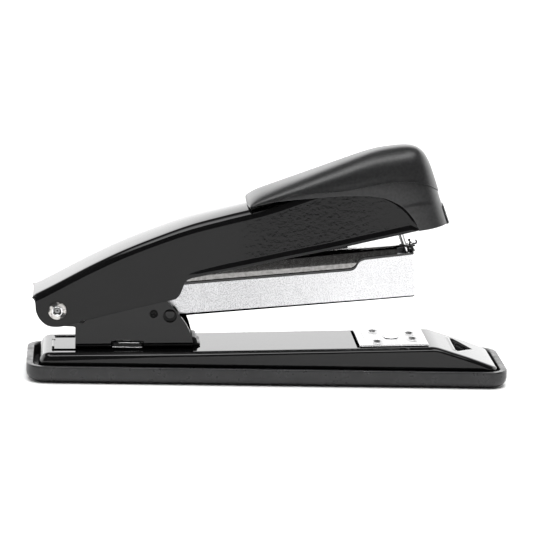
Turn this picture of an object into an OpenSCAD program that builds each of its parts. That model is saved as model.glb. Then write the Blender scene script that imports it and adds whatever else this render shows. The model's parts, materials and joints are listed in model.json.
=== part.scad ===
// Full-strip desk stapler with a sheet-metal handle, a plastic cap and a turning anvil.
// X runs along its length with the cap at +X, Y across it, Z up. The origin is the middle of the
// pad's underside. Lengths are in millimetres.

/* [Base] */
// Length of the pad, which is the length of the stapler
pad_len = 205; // [200:1:210]
// Width of the pad
pad_w = 42.5; // [41:0.5:46]
// Height of the pad's rim
pad_rim_h = 7.5; // [6:0.5:9]
// Corner radius of the pad in plan
pad_corner_r = 8; // [6:1:10]
// Thickness of the pad's rim
pad_wall = 2; // [1.6:0.1:2.4]
// Thickness of the pad's floor
pad_floor = 2.2; // [1.6:0.1:2.6]
// Half width of the base shell's flat top
shell_top_half = 15; // [14:0.5:16]
// Sheet thickness of the base shell
shell_sheet = 1; // [0.8:0.1:1.2]

/* [Hinge] */
// Distance of the main pivot behind the middle of the base
pivot_back = 89.8; // [88:0.2:91]
// Height of the main pivot above the desk
pivot_h = 29.6; // [29:0.1:31]
// Radius of the hollow rivet that is the main pivot
rivet_r = 1.95; // [1.8:0.05:2.1]
// Half width of the hinge bracket across its walls
bracket_half = 11.2; // [11:0.1:11.2]
// Sheet thickness of the hinge bracket
bracket_sheet = 1.3; // [1:0.1:1.4]

/* [Magazine] */
// Rise of the magazine above level at rest, in degrees
mag_tilt = 5.85; // [5.4:0.05:6]
// Length of the magazine from the pivot to its front face
mag_len = 152.5; // [151.5:0.5:153.5]
// Half width of the magazine channel
mag_half = 8.2; // [8.1:0.1:8.4]
// Sheet thickness of the magazine channel
mag_sheet = 0.8; // [0.7:0.1:0.8]
// Depth of the magazine's underside below the pivot
mag_drop = 8.3; // [8.2:0.1:8.4]
// Length of the staple strip that is loaded
strip_len = 52.5; // [20:2.5:60]
// Width of a staple's crown
crown_w = 12.9; // [12.7:0.1:12.9]
// Length of a staple's legs
leg_len = 6; // [5:1:6]

/* [Handle] */
// Half width of the handle across its side walls
handle_half = 12.5; // [12.4:0.1:12.8]
// Sheet thickness of the handle's side walls
handle_sheet = 1.1; // [1:0.1:1.1]
// Half width of the plastic cap
cap_half = 13.1; // [13:0.1:13.4]
// Wall thickness of the plastic cap
cap_wall = 2; // [1.6:0.2:2.4]

/* [Anvil] */
// Place of the anvil's centre in front of the middle of the base
anvil_x = 53.6; // [53:0.2:54]
// Length of the anvil plate
anvil_len = 29.6; // [28:0.2:30]
// Width of the anvil plate
anvil_w = 27; // [25:0.5:27]

/* [Hidden] */
$fn = 48;
eps = 0.02;             // gap between faces that rest on each other
fit = 0.05;             // radial clearance of a pin in its hole
big = 60;               // longer than any cut through a width

// The base shell's top rises gently to the bracket's front, then faster to the anvil.
kink_x = -32;
kink_z = 13.4;
rear_rise = 0.0242;
front_rise = 0.0335;
slope_x = 70;           // where the front slope begins
shell_front = 98.8;
shell_back = 97.6;
shell_bottom = pad_floor + eps;
shell_foot_half = pad_w / 2 - pad_wall - 0.25;
function base_top(x) = kink_z + (x < kink_x ? rear_rise : front_rise) * (x - kink_x);

pivot = [-pivot_back, 0, pivot_h];
floor_top = mag_sheet - mag_drop;            // the magazine's floor, from the pivot
crown_top = floor_top + 0.1 + leg_len;
wire = 0.5;
rod_z = 1.7;
rod_r = 1.25;
rod_start = 17.5;
strip_front = 148;
strip_back = strip_front - strip_len;
pusher_len = 14;
cover_half = mag_half - mag_sheet - 0.1;
cover_sheet = 0.65;
cover_top = 14.1;
cover_end = 146.4;
cover_low = -0.8;
anvil_tilt = atan(front_rise);
anvil_sheet = 0.65;
anvil_gap = 0.07;
washer_t = 0.5;

// ---- shapes that repeat ----

// A flat shape in X and Z, pulled to both sides of the middle plane.
module side_plate(half) {
    rotate([90, 0, 0]) linear_extrude(2 * half, center = true) children();
}

// A flat shape in Y and Z, pulled along X from x0 to x1.
module along_x(x0, x1) {
    translate([x0, 0, 0]) rotate([90, 0, 90]) linear_extrude(x1 - x0) children();
}

// A cylinder across the stapler at a point of the XZ plane, from -half to half.
module cross_rod(x, z, r, half) {
    translate([x, 0, z]) rotate([90, 0, 0]) cylinder(r = r, h = 2 * half, center = true);
}

// A disc across the stapler on each side, between two distances from the middle plane.
module side_discs(x, z, r, y0, y1) {
    for (side = [-1, 1])
        translate([x, side * (y0 + y1) / 2, z])
            rotate([90, 0, 0]) cylinder(r = r, h = y1 - y0, center = true);
}

// A rectangle with round corners at its bottom.
module round_bottom(w, h, r) {
    translate([-w / 2, r]) square([w, h - r]);
    translate([r - w / 2, 0]) square([w - 2 * r, h - r]);
    for (side = [-1, 1]) translate([side * (w / 2 - r), r]) circle(r);
}

// A block with round corners in plan.
module rounded_slab(len, w, r, z0, z1) {
    translate([0, 0, z0]) {
        translate([-len / 2 + r, -w / 2, 0]) cube([len - 2 * r, w, z1 - z0]);
        translate([-len / 2, -w / 2 + r, 0]) cube([len, w - 2 * r, z1 - z0]);
        for (sx = [-1, 1], sy = [-1, 1])
            translate([sx * (len / 2 - r), sy * (w / 2 - r), 0]) cylinder(r = r, h = z1 - z0);
    }
}

module in_magazine() {
    translate(pivot) rotate([0, -mag_tilt, 0]) children();
}

module on_anvil() {
    translate([anvil_x, 0, base_top(anvil_x)]) rotate([0, -anvil_tilt, 0]) children();
}

// ---- base ----

module base_pad() {
    color([0.13, 0.13, 0.13]) difference() {
        hull() {
            rounded_slab(pad_len - 6, pad_w - 6, pad_corner_r - 3, 0, 0.1);
            rounded_slab(pad_len - 2, pad_w - 2, pad_corner_r - 1, 1, 1.1);
            rounded_slab(pad_len, pad_w, pad_corner_r, 3, pad_rim_h);
        }
        rounded_slab(pad_len - 2 * pad_wall, pad_w - 2 * pad_wall, pad_corner_r - pad_wall,
                     pad_floor, pad_rim_h + 1);
        translate([anvil_x + 0.4, 0, -1]) cylinder(r = 7, h = 5);
    }
}

// The base shell's outer form, moved inward by the sheet for its hollow.
module base_form(inset, foot) {
    foot_half = shell_foot_half - inset;
    crest_half = shell_top_half - inset - 0.6;
    crest_z = base_top(slope_x) + 1;
    front = shell_front - inset;
    back = shell_back - inset;
    intersection() {
        side_plate(big) polygon([
            [-back, foot], [-back, base_top(-back) - 5.5 - inset],
            [0.9 - back, base_top(-back) - 2.6 - inset], [2.2 - back, base_top(-back) - 0.9 - inset],
            [4.2 - back, base_top(-back) + 0.1 - inset], [kink_x, kink_z - inset],
            [slope_x, base_top(slope_x) - inset], [72.5, 16.6 - inset], [79.5, 14.4 - inset],
            [86, 12.4 - inset], [93 - inset, 10 - inset], [front - 1.4, 8.3 - inset],
            [front - 0.4, 7.2 - inset], [front, 5.8 - inset], [front, foot]]);
        along_x(-back, front) polygon([[-foot_half, foot], [foot_half, foot], [crest_half, crest_z],
                                       [-crest_half, crest_z]]);
        translate([(front - back) / 2, 0, 0])
            rounded_slab(front + back, 2 * foot_half, 7, 0, crest_z + 1);
    }
}

base_rivet_x = [-72, -57];

module base_shell() {
    color([0.05, 0.05, 0.05]) difference() {
        base_form(0, shell_bottom);
        base_form(shell_sheet, shell_bottom - 1);
        on_anvil() cylinder(r = 2 + fit, h = 10, center = true);
        for (x = base_rivet_x) translate([x, 0, 12]) cylinder(r = 1.5 + fit, h = 10, center = true);
    }
}

// ---- hinge bracket, fixed to the base ----

bracket_rise = atan(rear_rise);
wall_rivet = [-49.2, 28.5];
pin_hole = [-42.3, 27.7];
window_x = -60;
window_len = 14;

// Outline of the bracket's walls from the side, with its ear round the pivot. Its floor runs on
// behind and in front of the walls.
module bracket_outline() {
    floor_z = base_top(-91.5) + bracket_sheet;
    polygon([[-91.5, 8], [-29.5, 8], [-29.5, 14.2], [-31.6, 15.3], [-32.6, 17.2], [-33.5, 20.6],
             [-35.2, 24], [-38, 27.8], [-40.8, 31.1], [-43.8, 34.1], [-46.5, 36.4], [-60, 38],
             [-82, 37], [-90, 36.4],
             [-90, 22.2], [-82, 22.2], [-82, floor_z + 0.2], [-91.5, floor_z]]);
    translate([pivot[0], pivot[2]]) circle(7);
    translate([pivot[0], 22.2]) square([4, 4]);
}

module hinge_bracket() {
    color([0.07, 0.07, 0.07]) difference() {
        intersection() {
            translate([kink_x, 0, kink_z + eps]) rotate([0, -bracket_rise, 0])
                along_x(-75, 5) difference() {
                    round_bottom(2 * bracket_half, 40, 3);
                    translate([0, bracket_sheet])
                        round_bottom(2 * (bracket_half - bracket_sheet), 40, 3 - bracket_sheet);
                }
            side_plate(bracket_half + 1) bracket_outline();
        }
        cross_rod(pivot[0], pivot[2], rivet_r + fit, big);
        cross_rod(wall_rivet[0], wall_rivet[1], 1.7 + fit, big);
        cross_rod(pin_hole[0], pin_hole[1], 2.9, big);
        cross_rod(-79.4, 25.6, 1.7, big);
        for (side = [-1, 1])
            translate([window_x - window_len / 2, side * 10.6 - 2, 12.95]) cube([window_len, 4, 3.9]);
        for (x = base_rivet_x) translate([x, 0, 12]) cylinder(r = 1.5 + fit, h = 10, center = true);
    }
}

// The lugs of the base that stand in the bracket's windows and hold it down.
module base_tabs() {
    color([0.05, 0.05, 0.05]) for (side = [-1, 1])
        along_x(window_x - 5.6, window_x + 5.6)
            translate([side * 10.2, 13.1]) {
                translate([-0.7, 0]) square([1.4, 1.6]);
                translate([0, 1.6]) circle(0.7);
            }
}

module base_rivets() {
    color([0.6, 0.6, 0.62]) for (x = base_rivet_x) {
        floor_z = base_top(x) + bracket_sheet + 0.75;
        translate([x, 0, base_top(x) - 2]) cylinder(r = 1.5, h = floor_z - base_top(x) + 2.8);
        translate([x, 0, floor_z + 0.1]) cylinder(r = 2.7, h = 0.8);
        translate([x, 0, base_top(x) - 2]) cylinder(r = 2.7, h = 0.85);
    }
}

// A leaf bolted to the bracket's floor that pushes the magazine up.
module lift_spring() {
    color([0.7, 0.7, 0.72]) difference() {
        side_plate(4) polygon([
            [-76, 13.75], [-52, 14.4], [-47.5, 17.8], [-41.8, 24.6], [-38.5, 25.4],
            [-38.5, 25.9], [-42.2, 25.3], [-48.1, 18.3], [-52.5, 14.95], [-76, 14.35]]);
        for (x = base_rivet_x) translate([x, 0, 14]) cylinder(r = 1.5 + fit, h = 10, center = true);
    }
}

module wall_rivets() {
    color([0.12, 0.12, 0.12]) {
        side_discs(wall_rivet[0], wall_rivet[1], 1.7, 9, bracket_half);
        side_discs(wall_rivet[0], wall_rivet[1], 2.6, 9, bracket_half - bracket_sheet - eps);
    }
}

// Short pins behind the bracket's large holes, held by a flange on the inside of each wall.
module spring_pins() {
    color([0.12, 0.12, 0.12]) {
        side_discs(pin_hole[0], pin_hole[1] + 0.8, 2.05, 8.9, bracket_half - 0.05);
        side_discs(pin_hole[0], pin_hole[1] + 0.4, 3.6, 8.9, bracket_half - bracket_sheet - eps);
    }
}

// ---- main pivot ----

washer_y = handle_half + 0.05;

module pivot_rivet() {
    color([0.8, 0.8, 0.82]) difference() {
        union() {
            cross_rod(pivot[0], pivot[2], rivet_r, washer_y + washer_t + 0.1);
            side_discs(pivot[0], pivot[2], 2.4, washer_y + washer_t + eps, washer_y + washer_t + 0.45);
        }
        cross_rod(pivot[0], pivot[2], rivet_r - 0.5, big);
    }
}

module pivot_washers() {
    color([0.08, 0.08, 0.08]) difference() {
        side_discs(pivot[0], pivot[2], 3.85, washer_y, washer_y + washer_t);
        cross_rod(pivot[0], pivot[2], rivet_r + fit, big);
    }
}

module pivot_spacers() {
    color([0.7, 0.7, 0.72]) difference() {
        side_discs(pivot[0], pivot[2], 4, mag_half + 0.06, bracket_half - bracket_sheet - 0.06);
        cross_rod(pivot[0], pivot[2], rivet_r + fit, big);
    }
}

// ---- anvil ----

button_drop = 10.6;     // the button's top below the base shell's top

module anvil_post() {
    color([0.75, 0.75, 0.77]) on_anvil() {
        translate([0, 0, -button_drop - 0.5]) cylinder(r = 2, h = button_drop + 1.3);
        translate([0, 0, anvil_gap + anvil_sheet + 0.05]) cylinder(r = 3.1, h = 0.25);
        translate([0, 0, -button_drop - 1.6]) cylinder(r = 5.5, h = 1.6);
    }
}

module anvil_spring() {
    color([0.6, 0.6, 0.62]) on_anvil() difference() {
        translate([0, 0, 0.1 - button_drop]) cylinder(r = 4.2, h = button_drop - shell_sheet - 0.3);
        cylinder(r = 2.8, h = big, center = true);
    }
}

// The plate that bends the legs: one pair of hollows turns them in, the other turns them out.
module anvil_plate() {
    bend_r = 8;
    color([0.9, 0.9, 0.92]) on_anvil() difference() {
        rounded_slab(anvil_len, anvil_w, 1, anvil_gap, anvil_gap + anvil_sheet);
        cylinder(r = 2 + fit, h = 10, center = true);
        for (side = [-1, 1], pair = [[7.3, 4.8], [-7.3, 8.4]])
            translate([pair[0], side * pair[1], anvil_gap + anvil_sheet + bend_r - 0.35])
                rotate([0, 90, 0]) cylinder(r = bend_r, h = 2, center = true, $fn = 96);
    }
}

// ---- magazine, in its own frame with the pivot at the origin ----

// Outline of the channel's walls from the side: they step up near the front.
module channel_outline() {
    polygon([[-6, -mag_drop - 1], [mag_len + 1, -mag_drop - 1], [mag_len + 1, 11.45], [131.2, 10.8],
             [129.6, 10.4], [128.3, 9.2], [127.4, 7.6], [126.2, 6.75], [124.4, 6.5], [-2.5, 6.5],
             [-5, 5.2], [-6, 3]]);
}

module channel_block(half, start, end, low, corner) {
    intersection() {
        along_x(start, end) translate([0, low]) round_bottom(2 * half, 30, 1.4 - (mag_half - half));
        union() {
            translate([start, -half, -20]) cube([end - start - corner, 2 * half, 40]);
            translate([start, corner - half, -20]) cube([end - start, 2 * (half - corner), 40]);
            for (side = [-1, 1])
                translate([end - corner, side * (half - corner), -20]) cylinder(r = corner, h = 40);
        }
    }
}

module magazine_channel() {
    inner = mag_half - mag_sheet;
    color([0.85, 0.85, 0.87]) in_magazine() difference() {
        intersection() {
            channel_block(mag_half, -6, mag_len, -mag_drop, 1.8);
            side_plate(mag_half + 1) channel_outline();
        }
        channel_block(inner, -7, mag_len - mag_sheet, floor_top, 1);
        cross_rod(0, 0, rivet_r + fit, big);
        translate([148.3, -6.6, -mag_drop - 1]) cube([2.5, 13.2, 3]);
    }
}

module staple_rail() {
    half = crown_w / 2 - wire - 0.3;
    top = crown_top - wire - 0.05;
    color([0.75, 0.75, 0.77]) in_magazine() difference() {
        translate([19, -half, floor_top + eps])
            cube([strip_front - 19, 2 * half, top - floor_top - eps]);
        translate([18, 0.8 - half, floor_top - 1])
            cube([strip_front, 2 * half - 1.6, top - floor_top + 0.2]);
    }
}

module rod_front_plate() {
    half = mag_half - mag_sheet - eps;
    color([0.8, 0.8, 0.82]) in_magazine() difference() {
        translate([146.7, -half, crown_top + 0.4]) cube([0.7, 2 * half, 4.6]);
        along_x(140, 150) translate([0, rod_z]) circle(rod_r + fit);
    }
}

module rod_rear_plate() {
    color([0.8, 0.8, 0.82]) in_magazine() difference() {
        translate([17, -6.5, floor_top + eps]) cube([1.2, 13, 12]);
        along_x(10, 30) translate([0, rod_z]) circle(rod_r + fit);
    }
}

module guide_rod() {
    color([0.8, 0.8, 0.82]) in_magazine()
        along_x(rod_start - 2, 147.6) translate([0, rod_z]) circle(rod_r);
}

module pusher_spring() {
    color([0.65, 0.65, 0.67]) in_magazine()
        along_x(18.4, strip_back - pusher_len - 0.3) difference() {
            translate([0, rod_z]) circle(2.6);
            translate([0, rod_z]) circle(rod_r + 0.3);
        }
}

module pusher() {
    half = crown_w / 2 - 0.05;
    rail_half = crown_w / 2 - wire - 0.2;
    color([0.15, 0.15, 0.15]) in_magazine() difference() {
        translate([strip_back - pusher_len - 0.1, -half, floor_top + 0.3])
            cube([pusher_len, 2 * half, 12]);
        translate([0, -rail_half, floor_top - 1])
            cube([strip_back + 10, 2 * rail_half, crown_top - floor_top - wire + 1.1]);
        along_x(0, strip_back + 10) translate([0, rod_z]) circle(rod_r + fit);
    }
}

module staple_strip() {
    inner_half = crown_w / 2 - wire;
    color([0.78, 0.78, 0.8]) in_magazine() difference() {
        translate([strip_back, -crown_w / 2, crown_top - leg_len])
            cube([strip_len, crown_w, leg_len]);
        translate([strip_back - 1, -inner_half, crown_top - leg_len - 1])
            cube([strip_len + 2, 2 * inner_half, leg_len - wire + 1]);
    }
}

// The plate in front of the blade, with two lips that flare forward over the magazine's end.
module blade_guide() {
    color([0.8, 0.8, 0.82]) in_magazine() {
        translate([150.85, -6.4, -5.5]) cube([0.8, 12.8, 18]);
        for (side = [-1, 1])
            translate([0, side * 4.4, 0]) side_plate(1.8)
                polygon([[150.85, 12.4], [151.65, 12.4], [152.3, 12.9], [153.5, 13.1], [154.5, 13.8],
                         [154.8, 15], [154.1, 15], [153.8, 14.3], [153.2, 13.8], [151.8, 13.5]]);
    }
}

// ---- cover over the staples, which opens with the handle ----

module cover_outline() {
    polygon([[4, cover_low], [cover_end, cover_low], [cover_end, cover_top + 1], [24, cover_top + 1],
             [24, cover_top], [4, 6.4], [-3, 4.5]]);
    circle(5);
}

module staple_cover() {
    inner = cover_half - cover_sheet;
    color([0.85, 0.85, 0.86]) in_magazine() difference() {
        union() {
            intersection() {
                along_x(-6, cover_end) mirror([0, 1]) translate([0, -cover_top])
                    difference() {
                        round_bottom(2 * cover_half, 30, 1.3);
                        translate([0, cover_sheet]) round_bottom(2 * inner, 30, 0.65);
                    }
                side_plate(cover_half + 1) cover_outline();
            }
            cross_rod(144.9, cover_top + 0.35, 0.6, 5.8);
        }
        cross_rod(0, 0, rivet_r + fit, big);
        translate([145.4, -inner, 5]) cube([5, 2 * inner, 12]);
        translate([120.2, 0, 10]) cylinder(r = 2.2, h = 8);
        translate([123, 0, 10]) cylinder(r = 2.2, h = 8);
        translate([120.2, -2.2, 10]) cube([2.8, 4.4, 8]);
    }
}

// ---- handle ----

top_edge = [[-100.1, 35.8], [-91.2, 40.4], [-76.9, 48.5], [-62.6, 55.8], [-48.3, 62], [-34.1, 67.6],
            [-19.8, 71.8], [-11.1, 74.2], [12, 80.2], [35, 83.3], [57.5, 83.3], [61, 81.5], [63.2, 76],
            [64.2, 67.7]];
low_edge = [[61.4, 66.8], [24.1, 57.8], [-29.9, 45.5], [-34.6, 44.4], [-36.6, 42], [-37.6, 38.6],
            [-40.1, 35.6], [-62.1, 30], [-81.5, 24.6], [-87.3, 22.8], [-90.9, 22.9], [-94.5, 24.2],
            [-97.5, 27.9], [-99, 32.4]];
plate_t = 1.35;

module handle_frame() {
    color([0.06, 0.06, 0.06]) difference() {
        side_plate(handle_half) polygon(concat(top_edge, low_edge));
        translate([0, 0, -plate_t]) side_plate(handle_half - handle_sheet)
            polygon(concat([[-105, 33.3]], top_edge, [[70, 60], [70, 0], [-105, 0]]));
        cross_rod(pivot[0], pivot[2], rivet_r + fit, big);
        translate([rivet_x, 0, 80]) cylinder(r = 1.5 + fit, h = 10, center = true);
    }
}

rivet_x = 43;
border = [[-14, 74.8], [-9.8, 76], [1.7, 78.4], [12.3, 79.6], [27.5, 81.1], [39.3, 81.5], [45.3, 80.7],
          [52.9, 77.7], [58.5, 73], [60.8, 68.8], [61.6, 66]];
seam = [[-20, 70], [4, 78.8], [8.2, 81], [27.5, 83.2], [45.1, 86.6], [53, 87.5], [60.8, 87.2], [66, 85.4], [80, 80]];

// The whole cap as one rounded form.
module cap_form(inset) {
    hull() {
        translate([62.3, 0, 67.6 - inset]) rotate([0, -9, 0])
            cylinder(r = cap_half - inset, h = 0.2, $fn = 64);
        translate([59.2, 0, 82 - inset]) cylinder(r = cap_half - inset, h = 0.2, $fn = 64);
        for (side = [-1, 1]) {
            translate([56.6, side * 3.6, 92.6]) sphere(r = 8.7 - inset, $fn = 40);
            translate([30, side * 6, 86.9]) sphere(r = 7 - inset, $fn = 32);
            translate([-8.9, side * 11, 76.4]) sphere(r = 2.05 - inset * 0.5, $fn = 24);
            translate([-2, side * (cap_half - 0.5 - inset), 74]) cylinder(r = 0.5, h = 3, $fn = 16);
        }
    }
}

module cap_body() {
    difference() {
        cap_form(0);
        intersection() {
            cap_form(cap_wall);
            translate([0, 0, -plate_t]) side_plate(handle_half)
                polygon([[6, 80], [20, 84], [45, 95], [56, 99], [75, 90], [80, 62], [6, 62]]);
        }
        side_plate(handle_half + 0.1)
            polygon(concat([for (p = top_edge) p + [0, 0.1]], [[64.2, 40], [-110, 40]]));
        side_plate(big) polygon(concat(border, [[61.6, 40], [-14, 40]]));
    }
}

module handle_cap() {
    color([0.12, 0.12, 0.12]) intersection() {
        cap_body();
        side_plate(big) polygon(concat([for (p = seam) p + [0, 0.03]], [[80, 110], [-20, 110]]));
    }
}

module cap_band() {
    color([0.1, 0.1, 0.1]) intersection() {
        cap_body();
        side_plate(big) polygon(concat([for (p = seam) p - [0, 0.03]], [[80, 50], [-20, 50]]));
    }
}

// A folded plate that closes the cap's nose from below and stands in front of it.
module nose_plate() {
    color([0.06, 0.06, 0.06]) side_plate(5)
        polygon([[63, 66.2], [75.9, 68.3], [76.3, 69.3], [74.9, 76.4], [74.4, 76.3], [75.7, 69.4],
                 [75.4, 68.8], [63, 66.8]]);
}

// ---- driver ----

blade_foot = [58.3, 55.6];
blade_lean = atan(2.7 / 7.3);
blade_t = 0.5;
tab_z = 83.3 - plate_t - 0.05;

module driver_blade() {
    head_x = blade_foot[0] - (tab_z - blade_foot[1]) * tan(blade_lean);
    back = [-blade_t / cos(blade_lean), 0];
    color([0.85, 0.85, 0.87]) difference() {
        side_plate(6.35) polygon([
            blade_foot, [head_x, tab_z], [38, tab_z], [38, tab_z - 0.6],
            [head_x + tan(blade_lean) * 0.6 + back[0], tab_z - 0.6], blade_foot + back]);
        translate([rivet_x, 0, 80]) cylinder(r = 1.5 + fit, h = 10, center = true);
    }
}

module driver_rivet() {
    color([0.7, 0.7, 0.72]) translate([rivet_x, 0, 0]) {
        translate([0, 0, tab_z - 1.2]) cylinder(r = 1.5, h = plate_t + 2);
        translate([0, 0, tab_z - 1.6]) cylinder(r = 2.7, h = 0.95);
        translate([0, 0, 83.35]) cylinder(r = 2.7, h = 0.5);
    }
}

// A leaf under the handle's top that pushes the handle up off the cover.
module handle_spring() {
    color([0.7, 0.7, 0.72]) side_plate(5) polygon([
        [-56, 56.6], [-41, 62.9], [-36, 63.4], [-22, 60.6], [-4, 54.9], [1.5, 54.2], [5, 54.9],
        [5, 54.2], [1.5, 53.5], [-4.3, 54.2], [-22.3, 59.8], [-36, 62.7], [-41, 62.1], [-56, 55.9]]);
}

base_pad();
base_shell();
hinge_bracket();
base_tabs();
base_rivets();
lift_spring();
wall_rivets();
spring_pins();
pivot_rivet();
pivot_washers();
pivot_spacers();
anvil_post();
anvil_spring();
anvil_plate();
magazine_channel();
staple_rail();
rod_front_plate();
rod_rear_plate();
guide_rod();
pusher_spring();
pusher();
staple_strip();
blade_guide();
staple_cover();
handle_frame();
handle_cap();
cap_band();
nose_plate();
driver_blade();
driver_rivet();
handle_spring();
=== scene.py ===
"""Looks of the desk stapler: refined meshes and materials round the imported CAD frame.

Shapes are worked out in millimetres in the frame's own axes (X along the stapler towards its nose,
Y across it, Z up) and turned into metres when a mesh is made.
"""

import json
import math

import bmesh
import bpy
import numpy as np
from mathutils import Matrix, Vector

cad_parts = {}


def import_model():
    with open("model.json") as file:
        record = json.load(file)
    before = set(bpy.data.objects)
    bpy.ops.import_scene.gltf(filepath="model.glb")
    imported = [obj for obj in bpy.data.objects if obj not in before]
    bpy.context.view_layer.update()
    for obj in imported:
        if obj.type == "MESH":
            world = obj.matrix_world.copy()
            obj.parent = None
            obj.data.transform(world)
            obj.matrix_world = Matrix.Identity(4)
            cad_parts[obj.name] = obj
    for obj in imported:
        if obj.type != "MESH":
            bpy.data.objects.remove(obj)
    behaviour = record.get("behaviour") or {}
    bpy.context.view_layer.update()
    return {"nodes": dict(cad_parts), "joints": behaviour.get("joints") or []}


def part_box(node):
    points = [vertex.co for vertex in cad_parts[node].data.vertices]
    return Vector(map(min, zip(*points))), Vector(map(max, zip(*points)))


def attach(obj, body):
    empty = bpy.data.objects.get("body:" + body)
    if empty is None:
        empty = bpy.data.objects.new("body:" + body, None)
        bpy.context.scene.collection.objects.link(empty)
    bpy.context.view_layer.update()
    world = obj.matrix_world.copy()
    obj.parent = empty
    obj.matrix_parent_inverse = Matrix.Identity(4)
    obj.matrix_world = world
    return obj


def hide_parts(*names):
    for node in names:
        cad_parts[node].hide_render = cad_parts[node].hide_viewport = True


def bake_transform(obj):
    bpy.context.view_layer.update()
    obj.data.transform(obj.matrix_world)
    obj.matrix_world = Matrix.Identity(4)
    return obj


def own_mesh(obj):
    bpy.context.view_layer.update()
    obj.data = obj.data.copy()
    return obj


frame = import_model()
nodes = frame["nodes"]
joints = {j["name"]: j for j in frame["joints"]}
MM = 0.001


# ---------------------------------------------------------------- curves


def spline(points, steps):
    """A smooth curve through the points (Catmull-Rom), with that many steps in each span."""
    p = np.array(points, float)
    p = np.vstack([2 * p[0] - p[1], p, 2 * p[-1] - p[-2]])
    t = np.linspace(0, 1, steps, endpoint=False)[:, None]
    spans = []
    for a, b, c, d in zip(p[:-3], p[1:-2], p[2:-1], p[3:]):
        m0 = (c - a) / 2
        m1 = (d - b) / 2
        h = 2 * t**3 - 3 * t**2
        spans.append((h + 1) * b + (t**3 - 2 * t**2 + t) * m0 - h * c + (t**3 - t**2) * m1)
    return np.vstack(spans + [p[-2:-1]])


def height_on(curve, x):
    """Height of a curve in X and Z at x."""
    return np.interp(x, curve[:, 0], curve[:, 1])


def arc(centre, radius, start, end, steps):
    """Points on a circle, from one angle to another in degrees."""
    angles = np.radians(np.linspace(start, end, steps))
    return [(centre[0] + radius * math.cos(a), centre[1] + radius * math.sin(a)) for a in angles]


def round_corners(points, radius, steps=4):
    """A closed outline with each corner rounded by the radius, or by less where a side is short."""
    out = []
    count = len(points)
    for i in range(count):
        before = Vector(points[i - 1])
        corner = Vector(points[i])
        after = Vector(points[(i + 1) % count])
        to_before = before - corner
        to_after = after - corner
        reach = min(radius, to_before.length * 0.45, to_after.length * 0.45)
        p0 = corner + to_before.normalized() * reach
        p2 = corner + to_after.normalized() * reach
        for k in range(steps + 1):
            t = k / steps
            out.append(tuple((1 - t) ** 2 * p0 + 2 * t * (1 - t) * corner + t * t * p2))
    return out


# ---------------------------------------------------------------- meshes


def weld(mesh, distance):
    """Joins the points that lie together and turns the faces outwards."""
    bm = bmesh.new()
    bm.from_mesh(mesh)
    bmesh.ops.remove_doubles(bm, verts=bm.verts, dist=distance)
    bmesh.ops.recalc_face_normals(bm, faces=bm.faces)
    face_outwards(bm)
    bm.to_mesh(mesh)
    bm.free()


def shade(mesh, sharp):
    """Shades a mesh smooth, apart from edges sharper than the angle."""
    mesh.shade_smooth()
    mesh.set_sharp_from_angle(angle=math.radians(sharp))


def add_object(name, data):
    piece = bpy.data.objects.new(name, data)
    bpy.context.scene.collection.objects.link(piece)
    return piece


def mesh_piece(name, verts, faces, sharp=38):
    """A shaded mesh object from points in millimetres; edges sharper than the angle stay crisp."""
    mesh = bpy.data.meshes.new(name)
    mesh.from_pydata([tuple(c * MM for c in v) for v in verts], [], faces)
    weld(mesh, 1e-7)
    shade(mesh, sharp)
    return add_object(name, mesh)


def face_outwards(bm):
    """Turns an open surface's faces away from its middle."""
    areas = [face.calc_area() for face in bm.faces]
    middles = [face.calc_center_median() for face in bm.faces]
    middle = sum((c * a for c, a in zip(middles, areas)), Vector()) / max(sum(areas), 1e-12)
    if sum(a * face.normal.dot(c - middle) for a, c, face in zip(areas, middles, bm.faces)) < 0:
        bmesh.ops.reverse_faces(bm, faces=bm.faces)


def loft(name, rows, closed=False, capped=False, sharp=38):
    """A surface over rows of points. A closed row is a ring, and caps fill the first and last ring."""
    count = len(rows[0])
    verts = [tuple(p) for row in rows for p in row]
    faces = []
    around = count if closed else count - 1
    for r in range(len(rows) - 1):
        for c in range(around):
            d = (c + 1) % count
            faces.append((r * count + c, r * count + d, (r + 1) * count + d, (r + 1) * count + c))
    if capped:
        faces.append(tuple(range(count)))
        last = (len(rows) - 1) * count
        faces.append(tuple(last + c for c in reversed(range(count))))
    return mesh_piece(name, verts, faces, sharp)


def both_halves(x, side, centre=None, where=None):
    """A cross-section at x from one half of it: (half width, height) from its edge to its middle."""
    row = [(-y, z) for y, z in side]
    row += [] if centre is None else [(0, centre)]
    row += [(y, z) for y, z in reversed(side)]
    return [tuple(where(x, y, z)) if where else (x, y, z) for y, z in row]


def modifier(piece, kind, **settings):
    added = piece.modifiers.new(kind.title(), kind)
    for key, value in settings.items():
        setattr(added, key, value)
    return added


def bake(piece):
    """Turns the piece's modifiers into its mesh."""
    bpy.context.view_layer.update()
    mesh = bpy.data.meshes.new_from_object(piece.evaluated_get(bpy.context.evaluated_depsgraph_get()))
    piece.modifiers.clear()
    piece.data = mesh
    return piece


def cut(piece, cutter):
    """Takes the cutter's form out of the piece."""
    modifier(piece, "BOOLEAN", operation="DIFFERENCE", solver="EXACT", object=cutter)
    bake(piece)
    bpy.data.objects.remove(cutter)
    return piece


def break_edges(piece, width, segments=2, limit=50, sharp=42):
    """Rounds the sharp edges a little and keeps the flat faces flat in their shading."""
    modifier(piece, "BEVEL", width=width * MM, segments=segments, limit_method="ANGLE",
             angle_limit=math.radians(limit))
    bake(piece)
    shade(piece.data, sharp)
    modifier(piece, "WEIGHTED_NORMAL", keep_sharp=True)
    return bake(piece)


def thicken(piece, thickness, offset=-1):
    """Gives a surface a thickness in millimetres: on its inside, or on both sides for an offset of 0."""
    modifier(piece, "SOLIDIFY", thickness=thickness * MM, offset=offset)
    return bake(piece)


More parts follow.
